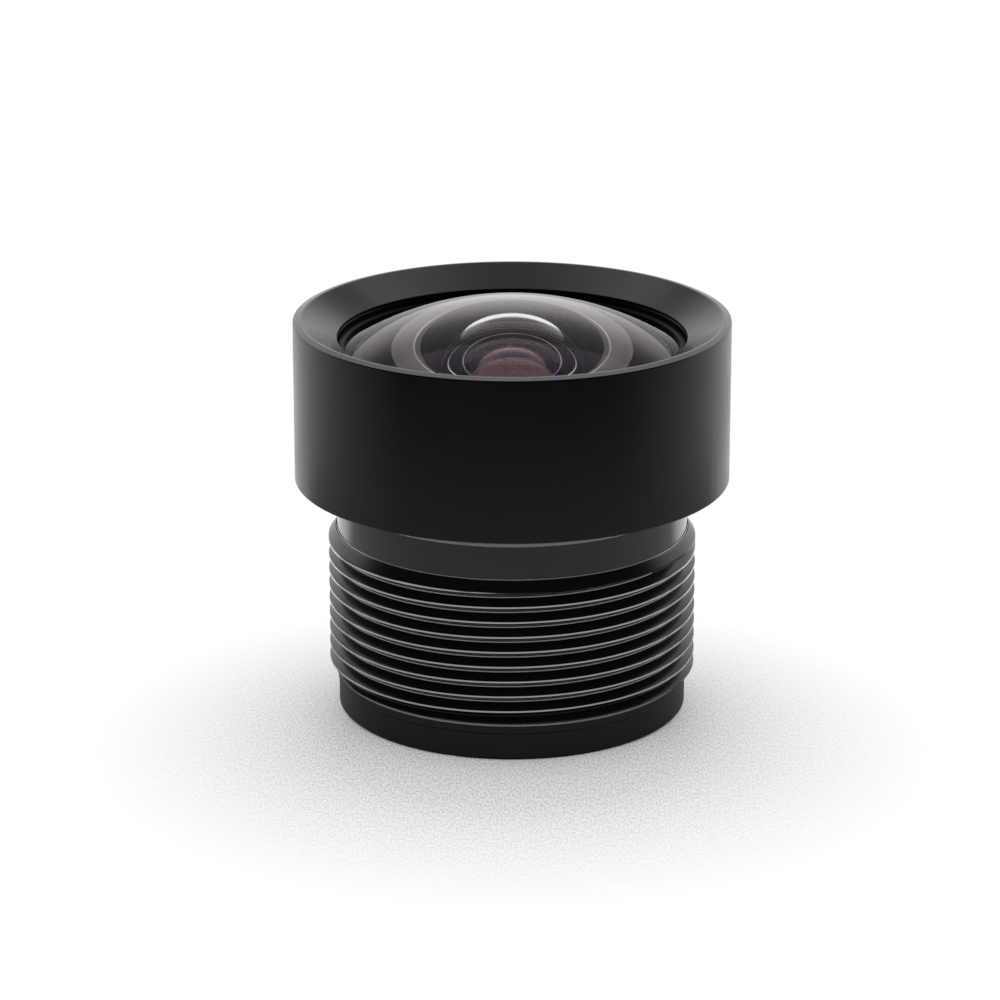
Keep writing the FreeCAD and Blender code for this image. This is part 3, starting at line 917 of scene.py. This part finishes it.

# %% [markdown]
# ## Floor, light and camera
#
# The lens stands on a white table in a white room. A black, shiny thing shows little more
# than what it mirrors, so the room matters more than any lamp. It is white behind the lens
# and at its sides. In front, where the camera and its dark cloth stand, the room is dark in
# the reflections and the table's colour is painted dark for them, so a black face that
# mirrors them looks black.

# %% Helpers for maths nodes
def map_range(tree, source, start, end, smooth=True):
    """Adds a map range from one value to another and gives its output."""
    kind = "SMOOTHSTEP" if smooth else "LINEAR"
    node = add_node(tree, "ShaderNodeMapRange", interpolation_type=kind)
    node.inputs["From Min"].default_value = start
    node.inputs["From Max"].default_value = end
    tree.links.new(source, node.inputs["Value"])
    return node.outputs["Result"]


def maths(tree, operation, first, second):
    """Adds a Math node of two sockets or numbers and gives its output."""
    node = add_node(tree, "ShaderNodeMath", operation=operation)
    for socket, value in zip(node.inputs, (first, second)):
        if isinstance(value, float):
            socket.default_value = value
        else:
            tree.links.new(value, socket)
    return node.outputs[0]


# %% [markdown]
# A black wall that stands on a table mirrors the table. In those reflections the table's
# colour is painted dark in two places: a painted shade at the lens's own foot, where little
# light comes in, and on the camera's side. The painted dark side has a sharp border near the
# lens and a soft one further out, and grows darker outwards. Only reflections see this, so
# the table itself stays white.

# %% Painted shade of the table in reflections
NEAR_SECTOR = (0.62, 0.40)
FAR_SECTOR = (0.80, -0.60)
SECTOR_BLEND = (28.0 * MM, 35.0 * MM)
DARK_NEAR = 0.63
DARK_FAR = 0.85
DARK_REACH = (28.0 * MM, 44.0 * MM)
DARK_EDGE = 0.15
EDGE_REACH = (42.0 * MM, 47.0 * MM)
FOOT_REACH = (12.0 * MM, 7.0 * MM)
FOOT_DARK = 0.65


def painted_reflection_shade(tree, place):
    """Gives how much painted shade reflections see at each point of the table."""
    distance = add_node(tree, "ShaderNodeVectorMath", operation="LENGTH")
    split = add_node(tree, "ShaderNodeSeparateXYZ")
    sector = add_node(tree, "ShaderNodeMix")
    link = tree.links.new
    link(place, distance.inputs[0])
    link(place, split.inputs[0])
    reach = distance.outputs["Value"]
    facing = maths(tree, "DIVIDE", split.outputs["Y"], reach)
    link(map_range(tree, reach, *SECTOR_BLEND), sector.inputs["Factor"])
    link(map_range(tree, facing, *NEAR_SECTOR), sector.inputs["A"])
    link(map_range(tree, facing, *FAR_SECTOR, smooth=False), sector.inputs["B"])
    outward = map_range(tree, reach, *DARK_REACH, smooth=False)
    edge = map_range(tree, reach, *EDGE_REACH)
    amount = maths(tree, "ADD", maths(tree, "MULTIPLY", outward, DARK_FAR - DARK_NEAR), DARK_NEAR)
    amount = maths(tree, "ADD", amount, maths(tree, "MULTIPLY", edge, DARK_EDGE))
    ahead = maths(tree, "MULTIPLY", sector.outputs["Result"], amount)
    foot = maths(tree, "MULTIPLY", map_range(tree, reach, *FOOT_REACH), FOOT_DARK)
    return maths(tree, "MAXIMUM", ahead, foot)


# %% [markdown]
# The table is covered with white paper. Its speckle is one noise without finer detail, about
# six hundredths of a millimetre wide and nearly three times as long, as short fibres are.

# %% Paper
FLOOR_WHITE = 1.00
FLOOR_SPECKLE = 0.72
SPECKLE_SCALE = 17000.0
SPECKLE_STRETCH = (1.0, 0.35, 1.0)
SPECKLE_RANGE = (0.28, 0.66)


def paper_colour(tree, place):
    """Gives the colour of white paper with its fine speckle."""
    grain = add_node(tree, "ShaderNodeMapping", Scale=SPECKLE_STRETCH)
    speckle = add_node(tree, "ShaderNodeTexNoise", Scale=SPECKLE_SCALE, Detail=0.0)
    paper = add_node(tree, "ShaderNodeMix", data_type="RGBA")
    paper.inputs["A"].default_value = (FLOOR_SPECKLE, FLOOR_SPECKLE, FLOOR_SPECKLE, 1.0)
    paper.inputs["B"].default_value = (FLOOR_WHITE, FLOOR_WHITE, FLOOR_WHITE, 1.0)
    link = tree.links.new
    link(place, grain.inputs["Vector"])
    link(grain.outputs[0], speckle.inputs["Vector"])
    link(map_range(tree, speckle.outputs[0], *SPECKLE_RANGE, smooth=False), paper.inputs["Factor"])
    return paper.outputs["Result"]


# %% [markdown]
# The lens's soft shadow stays on the table near it. Further away the camera is shown plain
# white, which is an emission of strength 1 and not more light on the lens.

# %% Table material
SHADOW_CENTRE = (0.0, -4.0 * MM, 0.0)
SHADOW_REACH = (5.5 * MM, 13.5 * MM)
BLACK = (0.0, 0.0, 0.0, 1.0)


def floor_material():
    """Makes the white table with the lens's shadow in a spot round its foot."""
    material = bpy.data.materials.new("white_table")
    material.use_nodes = True
    tree = material.node_tree
    tree.nodes.clear()
    link = tree.links.new
    output = add_node(tree, "ShaderNodeOutputMaterial")
    diffuse = add_node(tree, "ShaderNodeBsdfDiffuse")
    glow = add_node(tree, "ShaderNodeEmission", Strength=1.0)
    mix = add_node(tree, "ShaderNodeMixShader")
    path = add_node(tree, "ShaderNodeLightPath")
    place = add_node(tree, "ShaderNodeTexCoord").outputs["Object"]
    spot = add_node(tree, "ShaderNodeVectorMath", operation="DISTANCE")
    spot.inputs[1].default_value = SHADOW_CENTRE
    colour = add_node(tree, "ShaderNodeMix", data_type="RGBA")
    colour.inputs["B"].default_value = BLACK
    link(place, spot.inputs[0])
    beyond = map_range(tree, spot.outputs["Value"], *SHADOW_REACH, smooth=False)
    dark = painted_reflection_shade(tree, place)
    link(maths(tree, "MULTIPLY", beyond, path.outputs["Is Camera Ray"]), mix.inputs[0])
    # Painted shade: for reflection rays the table's colour is darkened
    link(maths(tree, "MULTIPLY", dark, path.outputs["Is Glossy Ray"]), colour.inputs["Factor"])
    link(paper_colour(tree, place), colour.inputs["A"])
    link(colour.outputs["Result"], diffuse.inputs["Color"])
    link(diffuse.outputs[0], mix.inputs[1])
    link(glow.outputs[0], mix.inputs[2])
    link(mix.outputs[0], output.inputs["Surface"])
    return material


# %% Floor
FLOOR_HALF = 1.5
floor_mesh = bmesh.new()
bmesh.ops.create_grid(floor_mesh, x_segments=1, y_segments=1, size=FLOOR_HALF)
floor_data = bpy.data.meshes.new("table")
floor_mesh.to_mesh(floor_data)
floor_mesh.free()
floor = bpy.data.objects.new("table", floor_data)
floor_data.materials.append(floor_material())
bpy.context.scene.collection.objects.link(floor)
print("table: %.1f m wide" % (FLOOR_HALF * 2))

# %% [markdown]
# The room is a world with no lamp in it, and it is white to the camera everywhere. In
# reflections and through glass its camera side is nearly black and the upper part of the
# backdrop is grey. Its sides and the lower part of the backdrop stay white for everything.

# %% World
ROOM_DARK = 0.02
BACKDROP_DARK = 0.65
CAMERA_SIDE = (0.45, 0.15)
BACKDROP_SIDE = (0.645, 0.665)
BACKDROP_HEIGHT = (0.32, 0.56)
world = bpy.data.worlds.new("white_room")
bpy.context.scene.world = world
world.use_nodes = True
room = world.node_tree
room.nodes["Background"].inputs["Strength"].default_value = 1.0
direction = add_node(room, "ShaderNodeSeparateXYZ")
room.links.new(add_node(room, "ShaderNodeTexCoord").outputs["Generated"], direction.inputs[0])
camera_side = map_range(room, direction.outputs["Y"], *CAMERA_SIDE)
# Behind, only the lower part of the backdrop is lit
behind = map_range(room, direction.outputs["Y"], *BACKDROP_SIDE)
high_up = map_range(room, direction.outputs["Z"], *BACKDROP_HEIGHT)
backdrop_top = maths(room, "MULTIPLY", maths(room, "MULTIPLY", behind, high_up), BACKDROP_DARK)
room_path = add_node(room, "ShaderNodeLightPath")
mirrored = maths(room, "MAXIMUM", room_path.outputs["Is Glossy Ray"],
                 room_path.outputs["Is Transmission Ray"])
darkness = add_node(room, "ShaderNodeMix", data_type="RGBA")
darkness.inputs["A"].default_value = (*WHITE, 1.0)
darkness.inputs["B"].default_value = (ROOM_DARK, ROOM_DARK, ROOM_DARK, 1.0)
dark_sides = maths(room, "MAXIMUM", camera_side, backdrop_top)
room.links.new(maths(room, "MULTIPLY", dark_sides, mirrored), darkness.inputs["Factor"])
room.links.new(darkness.outputs["Result"], room.nodes["Background"].inputs["Color"])
print("world:", world.name)

# %% [markdown]
# The camera stands in front and looks down a little through a long lens, so that the edges
# of the barrel bend as gently as they do in a picture of a small thing taken from afar.

# %% Camera
CAMERA_DISTANCE = 140.5
CAMERA_ELEVATION = 18.2
FOCAL_LENGTH = 154.8
SENSOR_WIDTH = 36.0
CLIP_START = 0.005
CLIP_END = 10.0
AIM = Vector((-0.393, 0.0, 6.88)) * MM
elevation = math.radians(CAMERA_ELEVATION)
camera_data = bpy.data.cameras.new("camera")
camera_data.lens = FOCAL_LENGTH
camera_data.sensor_width = SENSOR_WIDTH
camera_data.clip_start = CLIP_START
camera_data.clip_end = CLIP_END
camera = bpy.data.objects.new("camera", camera_data)
camera.location = Vector((0.0, -CAMERA_DISTANCE * math.cos(elevation),
                          AIM.z / MM + CAMERA_DISTANCE * math.sin(elevation))) * MM
camera.rotation_euler = (AIM - camera.location).to_track_quat("-Z", "Y").to_euler()
bpy.context.scene.collection.objects.link(camera)
bpy.context.scene.camera = camera
bpy.context.scene.view_settings.view_transform = "Standard"
print("camera: %.1f mm away, %.1f degrees above the table" % (CAMERA_DISTANCE, CAMERA_ELEVATION))
